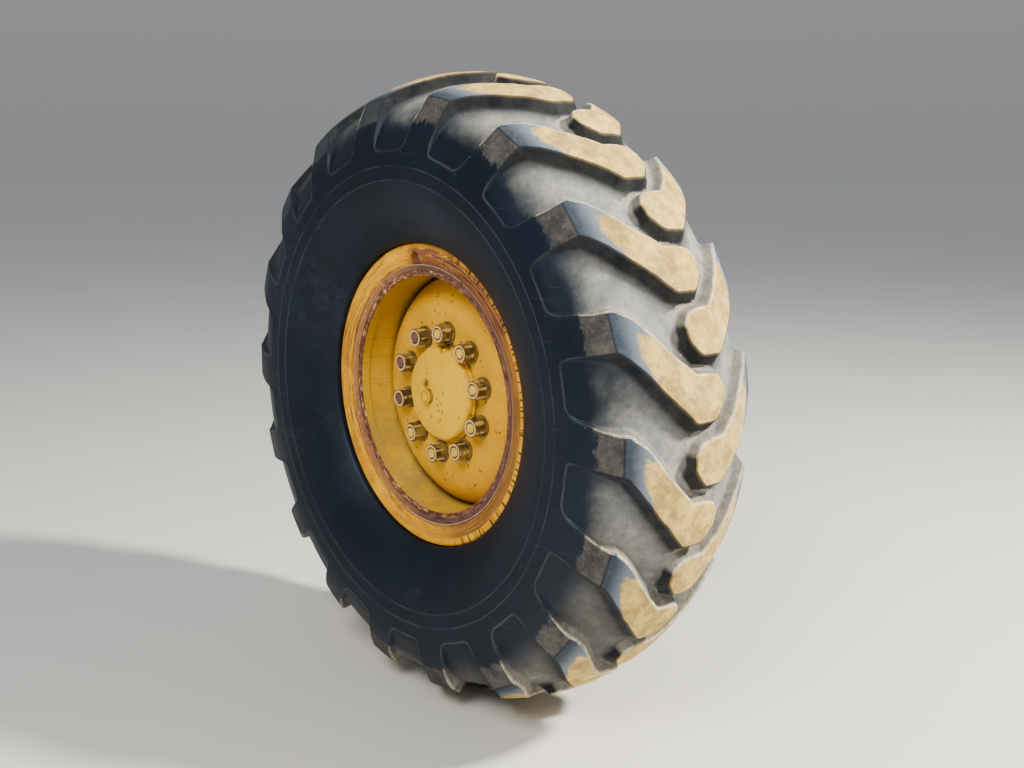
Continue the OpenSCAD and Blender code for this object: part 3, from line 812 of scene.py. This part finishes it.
def wall_dust_and_shade(s, fine):
    """Walls of the lugs: painted shade on one side of each lug, and pale grey dust with painted light on the
    other.
    """
    dark = s.mix(s.patches(22, 6, 0.72, 0.35, 0.65), (16, 17, 19), (42, 40, 37))
    pale = s.mix(s.span(fine, 0.3, 0.7), (92, 90, 85), (130, 123, 108))
    # Dark walls that face forward are painted shade; the pale walls are dust with painted light.
    return s.mix(s.span(s.fact("facing"), -0.1, 0.5), dark, pale)


def worn_yellow(s, light, dark, dirt=0.5):
    """Machine paint that has faded in patches, with brown specks and grime."""
    s.skin["Specular IOR Level"].default_value = 0.1
    specks = s.span(s.spots(52, s.shaken(70, 0.016)), 0.22, 0.1)
    return s.layers(
        s.mix(s.patches(8, 6, 0.65, 0.32, 0.7), dark, light),
        ((84, 50, 30), specks, s.patches(14, 2, 0.5, 0.48, 0.56), dirt),
        ((140, 92, 40), s.patches(60, 6, 0.8, 0.57, 0.72), 0.4 * dirt),
    )


def side_ring_paint():
    """Golden flange: rust streaks round its left, bare rust at its upper right, nicks in its right edge."""
    s = WheelShade("side_ring_paint", roughness=0.5)
    streaks = s.noise(1, 8, 0.78, where=s.ring_place(300, 3.4, 90))
    flaked = s.patches(1, 8, 0.8, 0.38, 0.5, where=s.ring_place(120, 9, 60))
    face = s.span(s.radius, FLANGE_R - 0.0018, FLANGE_R - 0.0153)
    bare = s.times(s.window(s.turn, 0.62, 1.66, 0.15), flaked, face)
    bare_rust = s.mix(s.span(streaks, 0.35, 0.65), (88, 54, 48), (142, 88, 54))
    ragged = s.span(s.plus(s.radius, s.times(streaks, 0.012)), FLANGE_R - 0.0093, FLANGE_R - 0.0153)
    grime = s.mix(s.span(streaks, 0.44, 0.56), (46, 28, 28), (150, 96, 54))
    recess = s.span(s.y, FLANGE_FACE + 0.0066, FLANGE_FACE + 0.0081)
    inside = s.span(s.radius, LOCK_RING_R + 0.009, LOCK_RING_R)
    nicks = flange_nicks(s)
    colour = s.layers(
        streaked_gold(s, streaks),
        (bare_rust, bare),
        ((104, 60, 44), inside, s.patches(50, 5, 0.7, 0.3, 0.55), 0.8),
        (grime, ragged, s.span(s.forward, -0.1, 0.5), 0.85),
        ((88, 50, 44), s.window(s.turn, 1.6, 1.725, 0.01), recess, 0.85),
        ((52, 32, 24), nicks, 0.9),
        # Dark line along the flange's outer edge: painted shade of the gap against the tyre.
        ((88, 54, 28), s.span(s.radius, FLANGE_R - 0.0005, FLANGE_R + 0.0009)),
    )
    normal = s.bump(nicks, 1, -0.002, s.bump(streaks, 0.3, 0.0012))
    return s.finish(colour, s.blend(bare, 0.5, 0.75), normal)


def streaked_gold(s, streaks):
    """The flange's paint with light and dark rust along it, more of both on its left."""
    patchy = s.noise(11, 6, 0.75)
    left = s.span(s.forward, 0.5, -0.7)
    dark = s.times(s.span(streaks, 0.47, 0.6), s.span(patchy, 0.44, 0.58))
    return s.layers(
        worn_yellow(s, (244, 184, 20), (212, 144, 10)),
        ((168, 96, 26), s.span(streaks, 0.42, 0.6), s.span(patchy, 0.26, 0.56), s.blend(left, 0.4, 0.95)),
        ((104, 58, 44), dark, s.blend(left, 0.25, 1), 0.85),
    )


def flange_nicks(s):
    """Short cuts across the right side of the flange's edge, at uneven turns round the wheel."""
    wide, narrow = (
        s.span(s.spots(density, turn, 0.9, "1D"), width, width * 0.6)
        for density, turn, width in ((9, s.turn, 0.075), (14, s.plus(s.turn, 20), 0.06))
    )
    ragged = s.plus(s.radius, s.times(s.noise(40, 3, 0.6), 0.012))
    edge = s.times(s.span(ragged, FLANGE_R - 0.0128, FLANGE_R - 0.0103), s.span(s.forward, 0.15, 0.45))
    return s.times(s.maths("MAXIMUM", wide, narrow), edge)


def lock_ring_steel():
    """Purple-brown rusty steel with scuffs, golden at its left and brighter along its outer edge, most on the
    right.
    """
    s = WheelShade("lock_ring_steel", roughness=0.6, metallic=0.2)
    left = s.span(s.forward, 0.1, -0.6)
    streaks = s.patches(1, 6, 0.7, 0.35, 0.65, where=s.ring_place(200, 9, 90))
    scuffs = s.times(s.patches(90, 6, 0.75, 0.54, 0.66), s.blend(left, 0.1, 0.8))
    edge = s.span(s.radius, LOCK_RING_R - 0.002, LOCK_RING_R - 0.0008)
    colour = s.layers(
        s.mix(streaks, (66, 40, 38), (112, 74, 64)),
        ((158, 102, 44), left, s.patches(14, 6, 0.75, 0.32, 0.52), 0.9),
        ((196, 158, 120), scuffs),
        ((206, 172, 146), edge, s.blend(left, 0.9, 0.4)),
    )
    return s.finish(colour, s.blend(scuffs, 0.5, 0.75), s.bump(s.noise(160, 5, 0.7), 0.4, 0.001))


def rim_paint():
    """Barrel and gutter: golden brown paint with painted shade high up, chipped to rust along the gutter's
    edge.
    """
    s = WheelShade("rim_paint", roughness=0.46)
    streaks = s.patches(1, 5, 0.7, 0.5, 0.66, where=s.ring_place(40, 26, 8))
    low_left = s.times(s.span(s.up, -0.1, -0.6), s.span(s.forward, 0.5, -0.3))
    # Dark band where the barrel meets the disc: painted shade with grime.
    shade_and_grime_at_disc = s.times(s.window(s.y, -0.014, 0.024, 0.034), s.span(s.radius, LOCK_RING_R + 0.006, LOCK_RING_R))
    behind = s.span(s.y, 0.03, 0.05)
    gutter = s.span(s.y, RIM_FACE + 0.0045, RIM_FACE + 0.0015)
    colour = s.layers(
        worn_yellow(s, (220, 176, 34), (194, 150, 24), dirt=0.7),
        # Darker high up and at the left: painted shade on the barrel's inside.
        ((128, 84, 14), s.span(s.up, -0.1, 0.95), s.span(s.forward, 0.7, -0.1), 0.6),
        ((132, 84, 22), streaks, 0.3),
        ((124, 116, 88), low_left, s.patches(9, 6, 0.7, 0.35, 0.65), 0.55),
        ((76, 46, 36), shade_and_grime_at_disc, 0.9),
        ((124, 82, 40), behind, s.patches(12, 7, 0.75, 0.42, 0.6), 0.8),
        ((104, 94, 76), behind, s.patches(7, 7, 0.75, 0.46, 0.62), 0.7),
        (chipped_edge(s), gutter),
    )
    return s.finish(colour, s.blend(gutter, 0.46, 0.7), s.bump(s.noise(70, 6, 0.7), 0.25, 0.001))


def chipped_edge(s):
    """Rust with chips of cream primer, nearly all of them at the left."""
    ragged = s.noise(1, 7, 0.8, where=s.ring_place(150, 14, 90))
    chips = s.times(s.span(ragged, 0.55, 0.6), s.blend(s.span(s.forward, -0.15, 0.45), 0.95, 0.12))
    return s.layers(s.mix(s.span(ragged, 0.42, 0.56), (72, 44, 38), (124, 82, 62)), ((222, 186, 130), chips))


def disc_paint():
    """Disc of pressed steel: specked paint, dust at its foot, painted shade at its edge, dark grease above
    the cap.
    """
    s = WheelShade("disc_paint", roughness=0.42)
    dots = s.span(s.spots(30, s.shaken(60, 0.02)), 0.17, 0.08)
    # Darker ring on the disc round the cap's foot: grime with painted shade.
    grime_and_shade_at_cap = s.span(s.radius, CAP_R + 0.0135, CAP_R - 0.0015)
    colour = s.layers(
        worn_yellow(s, (222, 166, 16), (202, 144, 8), dirt=0.9),
        ((120, 66, 28), dots, s.patches(9, 2, 0.5, 0.42, 0.5), 0.8),
        ((146, 124, 76), s.span(s.radius, DISC_R - 0.042, DISC_R - 0.006), s.span(s.up, 0.1, -0.5), 0.6),
        # Dark band at the disc's edge, where it meets the barrel: painted shade with grime.
        ((70, 42, 36), s.span(s.radius, DISC_R - 0.018, DISC_R - 0.003)),
        ((52, 44, 30), s.near(DISC_GREASE, 0.008, 0.026), s.patches(55, 5, 0.7, 0.38, 0.55), 0.9),
        ((104, 78, 36), grime_and_shade_at_cap, s.patches(30, 5, 0.7, 0.42, 0.62), 0.7),
    )
    return s.finish(colour, s.patches(50, 5, 0.7, -0.4, 1.3), s.bump(s.noise(45, 6, 0.7), 0.2, 0.001))


def cap_paint():
    """Hub cap: paler, dented paint with fine scratches, a dark chip above its plug and grease at its top."""
    s = WheelShade("cap_paint")
    edge = s.span(s.radius, CAP_R - 0.0155, CAP_R - 0.0045)
    colour = s.layers(
        worn_yellow(s, (240, 186, 6), (216, 158, 4), dirt=1),
        ((118, 84, 40), s.patches(60, 3, 0.6, 0.665, 0.7, stretch=(3.2, 1, 0.22)), 0.5),
        ((62, 42, 30), s.near(CAP_CHIP, 0.006, 0.015), s.patches(110, 4, 0.7, 0.36, 0.5), 0.9),
        ((58, 46, 30), s.near(CAP_GREASE, 0.008, 0.022), s.patches(70, 5, 0.7, 0.42, 0.52), 0.9),
        ((96, 62, 28), s.window(s.distance(PLUG_FOOT), 0.0166, 0.0176, 0.0014), 0.7),
        # Darker, patchy band at the cap's rounded edge: painted shade with grime.
        ((150, 104, 48), edge, s.patches(40, 5, 0.7, 0.42, 0.6), 0.45),
        ((196, 146, 40), s.patches(16, 6, 0.75, 0.5, 0.7), 0.4),
    )
    return s.finish(colour, normal=s.bump(s.noise(30, 5, 0.6), 0.25, 0.002))


def nut_finish():
    """Wheel nuts: greasy paint, rubbed in patches and at the corners with a painted highlight, and a bright
    ring round each face.
    """
    s = WheelShade("nut_finish")
    gap = s.nut_gap()
    patch = s.patches(30, 4, 0.6, 0.46, 0.58)
    corner = s.times(s.span(gap, 0.0216, 0.0228), s.window(s.y, NUT_FACE + 0.0008, DISC_FACE - 0.011, 0.001))
    # Each face is dark next to its stud as painted shade of the gap, and bright in a ring further out.
    face = s.mix(s.window(gap, 0.0152, 0.0186, 0.0008), (84, 62, 30), (214, 172, 98))
    colour = s.layers(
        s.mix(s.patches(60, 5, 0.7, 0.35, 0.65), (38, 30, 22), (92, 74, 38)),
        ((158, 128, 52), patch, 0.6),
        # Paler corners: rubbed paint and painted highlight.
        ((198, 162, 88), corner, s.patches(80, 4, 0.6, 0.36, 0.5)),
        (face, s.span(s.y, NUT_FACE + 0.0008, NUT_FACE + 0.0003)),
        ((104, 80, 38), s.span(s.y, DISC_FACE - 0.007, DISC_FACE - 0.005), 0.45),
    )
    return s.finish(colour, s.blend(patch, 0.32, 0.5), s.bump(s.noise(150, 5, 0.7), 0.2, 0.0006))


def stud_finish():
    """Stud ends: yellow on the right, rusty purple on the three at the left."""
    s = WheelShade("stud_finish")
    from_left = s.maths("SUBTRACT", s.turn, math.radians(NUT_PHASE + 4 * 360 / NUT_COUNT))
    left = s.span(s.maths("COSINE", from_left), 0.68, 0.72)
    yellow = s.mix(s.patches(70, 4, 0.6, 0.4, 0.65), (214, 160, 18), (240, 192, 38))
    rusty = s.mix(s.patches(90, 5, 0.7, 0.35, 0.65), (74, 44, 44), (120, 74, 64))
    inner = s.mix(s.patches(60, 5, 0.7, 0.4, 0.6), (84, 66, 48), (142, 120, 92))
    colour = s.layers(
        s.mix(left, yellow, rusty),
        # Dark band where the stud leaves the nut: painted shade of the gap.
        ((40, 28, 20), s.span(s.y, NUT_FACE + 0.0003, NUT_FACE + 0.0008)),
        (inner, s.span(s.y, DISC_FACE + 0.008, DISC_FACE + 0.018)),
    )
    return s.finish(colour, s.blend(left, 0.4, 0.7), s.bump(s.noise(160, 4, 0.7), 0.3, 0.0006))


def cast_paint(name, light, dark):
    """Paint over rough cast steel, with rust, oily dirt and dust on what faces up."""
    s = Shade(name)
    rust = s.patches(13, 7, 0.75, 0.51, 0.62)
    oil = s.patches(7, 7, 0.78, 0.47, 0.6)
    dust = s.times(s.span(s.upward(), 0.35, 0.9), s.patches(22, 6, 0.75, 0.32, 0.6))
    colour = s.layers(
        worn_yellow(s, light, dark, dirt=0.8),
        ((128, 74, 40), rust, 0.75),
        ((52, 43, 34), oil, 0.8),
        ((140, 120, 84), dust, 0.6),
    )
    roughness = s.blend(s.maths("MAXIMUM", rust, dust), s.blend(oil, 0.45, 0.3), 0.85)
    return s.finish(colour, roughness, s.bump(s.noise(120, 5, 0.75), 0.45, 0.0015))


def turned_steel():
    """Bright steel of the kingpin and the thrust washers."""
    s = Shade("bearing_steel", metallic=0.8)
    fine = s.noise(210, 4, 0.7, stretch=(1, 1, 6))
    colour = s.mix(s.patches(34, 6, 0.7, 0.3, 0.7), (112, 108, 102), (158, 154, 148))
    return s.finish(colour, s.blend(s.span(fine, 0.3, 0.7), 0.3, 0.5), s.bump(fine, 0.2, 0.0004))


def bolt_steel():
    """Rusting grey steel of the bolts in the kingpin's covers."""
    s = Shade("cover_bolt_steel", metallic=0.5)
    rust = s.patches(80, 5, 0.7, 0.45, 0.62)
    colour = s.mix(rust, (150, 132, 104), (112, 70, 46))
    return s.finish(colour, s.blend(rust, 0.4, 0.75), s.bump(s.noise(180, 4, 0.7), 0.3, 0.0005))


def pale_stone():
    s = Shade("stone", roughness=0.9)
    colour = s.mix(s.patches(140, 4, 0.6, 0.35, 0.65), (128, 116, 100), (206, 200, 188))
    return s.finish(colour, normal=s.bump(s.noise(400, 4, 0.7), 0.4, 0.0006))


def mottled(name, roughness, first, second, *patches):
    """A plain finish of two colours."""
    s = Shade(name, roughness)
    return s.finish(s.mix(s.patches(*patches), first, second))


def dress(node, material):
    """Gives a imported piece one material."""
    piece = frame["nodes"][node]
    if not piece.material_slots:
        piece.data.materials.append(material)
    for slot in piece.material_slots:
        slot.material = material


def bevelled(node, width, segments):
    """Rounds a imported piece's sharp edges a little, by a modifier."""
    bevel = frame["nodes"][node].modifiers.new("edges", "BEVEL")
    bevel.width = width * MM
    bevel.segments = segments
    bevel.limit_method = "ANGLE"
    bevel.angle_limit = math.radians(35)
    bevel.harden_normals = True


def dress_cad():
    """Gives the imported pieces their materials, and rounds some of their edges."""
    finishes = (
        (rim_paint(), "rim_base"), (side_ring_paint(), "side_ring"), (lock_ring_steel(), "lock_ring"),
        (disc_paint(), "wheel_disc"), (cap_paint(), "hub_cap", "cap_plug"),
        (stud_finish(), "wheel_studs"), (nut_finish(), "wheel_nuts"),
        (cast_paint("hub_paint", (192, 138, 24), (152, 104, 14)), "hub"),
        (cast_paint("axle_paint", (198, 142, 22), (160, 108, 12)),
         "knuckle", "upper_pin_cover", "lower_pin_cover", "yoke"),
        (turned_steel(), "upper_thrust_washer", "lower_thrust_washer", "kingpin"),
    )
    for material, *nodes in finishes:
        for node in nodes:
            dress(node, material)
    for node, rounding in BEVELS.items():
        bevelled(node, *rounding)


def add_small_things(mesh, name, material, body):
    """Makes one piece of a finished bmesh and lets it ride on a body."""
    data = bpy.data.meshes.new(name)
    mesh.to_mesh(data)
    mesh.free()
    data.materials.append(material)
    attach(linked(name, data), body)


def add_stone(mesh, place, radius, squash, rng):
    """Adds one small rough stone to a bmesh."""
    made = bmesh.ops.create_icosphere(mesh, subdivisions=1, radius=radius)["verts"]
    angle = rng.uniform(0, 6.3)
    axis = Vector((rng.uniform(-1, 1), rng.uniform(-1, 1), 1)).normalized()
    turn = Matrix.Rotation(angle, 4, axis)
    for vert in made:
        shaken = vert.co * rng.uniform(0.75, 1.2)
        vert.co = place + turn @ Vector((shaken.x, shaken.y * squash, shaken.z))


def add_stones():
    """Small stones caught at the feet of the tread's blocks."""
    rng = random.Random(11)
    mesh = bmesh.new()
    root = CROWN_R - TREAD_DEPTH + 1.5
    for i in range(2 * LUG_COUNT):
        side = 1 if i % 2 else -1
        for _ in range(STONES_AT_BLOCK):
            across = rng.uniform(2, 52)
            along = i * PITCH / 2 + rng.uniform(-15, -8) + max(0, across - 20) * 0.8
            turn = math.asin(across / CROWN_R) * -side
            radius = CROWN_CENTRE_R + root * math.cos(turn)
            angle = math.radians(LUG_PHASE + along / DEGREE)
            place = Vector(round_axle(radius, root * math.sin(turn), angle)) * MM + AXLE
            add_stone(mesh, place, rng.uniform(*STONE_RADII) * MM, rng.uniform(0.6, 1.1), rng)
    add_small_things(mesh, "tread_stones", pale_stone(), "wheel")


def add_nubs():
    """Little rubber hairs that the mould's vents leave beside the shoulder pads."""
    mesh = bmesh.new()
    for i in range(LUG_COUNT):
        for radius, degrees in NUBS:
            for side, half_pitches in ((-1, 0), (1, 1)):
                angle = math.radians(LUG_PHASE + (2 * i + half_pitches) * 180 / LUG_COUNT + degrees)
                foot = Vector(round_axle(radius, side * (side_y(radius) - 1.5), angle)) * MM + AXLE
                outward = Matrix.Translation(foot) @ Matrix.Rotation(side * -math.pi / 2, 4, "X")
                add_cone(mesh, outward, NUB_FOOT_R * MM, NUB_TIP_R * MM, NUB_LENGTH * MM, 8)
    rubber_nub = mottled("vent_rubber", 0.7, (20, 24, 32), (58, 64, 72), 200, 3, 0.6, 0.4, 0.6)
    add_small_things(mesh, "vent_nubs", rubber_nub, "wheel")


def add_cone(mesh, place, foot_r, tip_r, length, segments):
    """Adds a closed cone or cylinder to a bmesh. Place is the matrix of its middle, and Z its axis."""
    bmesh.ops.create_cone(mesh, cap_ends=True, segments=segments, radius1=foot_r, radius2=tip_r,
                          depth=length, matrix=place)


def add_cover_bolts():
    """Four hexagon bolts and a grease nipple on each cover over the kingpin's ends."""
    mesh = bmesh.new()
    for side in (-1, 1):
        face_z = AXLE.z + side * COVER_FACE
        for i in range(4):
            angle = math.radians(45 + 90 * i)
            x, y = BOLT_CIRCLE_R * math.cos(angle), BOLT_CIRCLE_R * math.sin(angle)
            bolt = Matrix.Translation((x, KINGPIN_Y + y, face_z))
            add_cone(mesh, bolt, BOLT_HEAD_R, BOLT_HEAD_R, 2 * BOLT_HEAD_H, 6)
            add_cone(mesh, bolt, BOLT_COLLAR_R, BOLT_COLLAR_R, BOLT_COLLAR_H, 24)
        for radius, rise in NIPPLE_STEPS:
            step = Matrix.Translation((0, KINGPIN_Y, face_z + side * rise * MM))
            add_cone(mesh, step, radius * MM, radius * MM, NIPPLE_STEP_H * MM, 16)
    add_small_things(mesh, "cover_bolts", bolt_steel(), "knuckle")


def add_aimed(name, data, place, direction):
    """Adds a camera or lamp that looks in a direction."""
    item = linked(name, data)
    item.location = place
    item.rotation_euler = direction.to_track_quat("-Z", "Y").to_euler()
    return item


def add_camera():
    data = bpy.data.cameras.new("camera")
    data.lens = CAMERA_LENS
    bpy.context.scene.camera = add_aimed("camera", data, CAMERA_PLACE, Vector(CAMERA_AIM))


def add_lamp(name, place, aim, size, power, colour):
    data = bpy.data.lights.new(name, "AREA")
    data.energy = power
    data.color = colour
    data.shape = "DISK"
    data.size = size
    add_aimed(name, data, place, Vector(aim) - Vector(place))


def add_sky():
    """A soft overcast sky, brighter and bluer high up."""
    world = bpy.data.worlds.new("sky")
    bpy.context.scene.world = world
    world.use_nodes = True
    nodes = Nodes(world.node_tree)
    where = nodes.add("ShaderNodeTexCoord").outputs["Generated"]
    height = nodes.add("ShaderNodeSeparateXYZ", {0: where}).outputs["Z"]
    colours = {"Factor": nodes.span(height, 0, SKY_FADE), 6: SKY_LOW, 7: SKY_HIGH}
    sky = world.node_tree.nodes["Background"]
    nodes.put(sky.inputs["Color"], nodes.add("ShaderNodeMix", colours, data_type="RGBA").outputs[2])
    nodes.put(sky.inputs["Strength"], SKY_STRENGTH)


def add_floor():
    mesh = bpy.data.meshes.new("floor")
    corners = [(x * FLOOR_HALF, y * FLOOR_HALF, FLOOR_Z) for x, y in ((-1, -1), (1, -1), (1, 1), (-1, 1))]
    mesh.from_pydata(corners, [], [(0, 1, 2, 3)])
    finish = mottled("floor_finish", 0.9, (209, 206, 202), (212, 209, 205), 1.3, 5, 0.6, 0.3, 0.7)
    mesh.materials.append(finish)
    linked("floor", mesh)


add_camera()
add_sky()
for lamp in LAMPS:
    add_lamp(*lamp)
add_floor()

tyre = build_tyre()
tyre.data.materials.append(rubber())
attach(tyre, "wheel")
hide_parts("tyre")
add_stones()
add_nubs()
add_cover_bolts()

dress_cad()
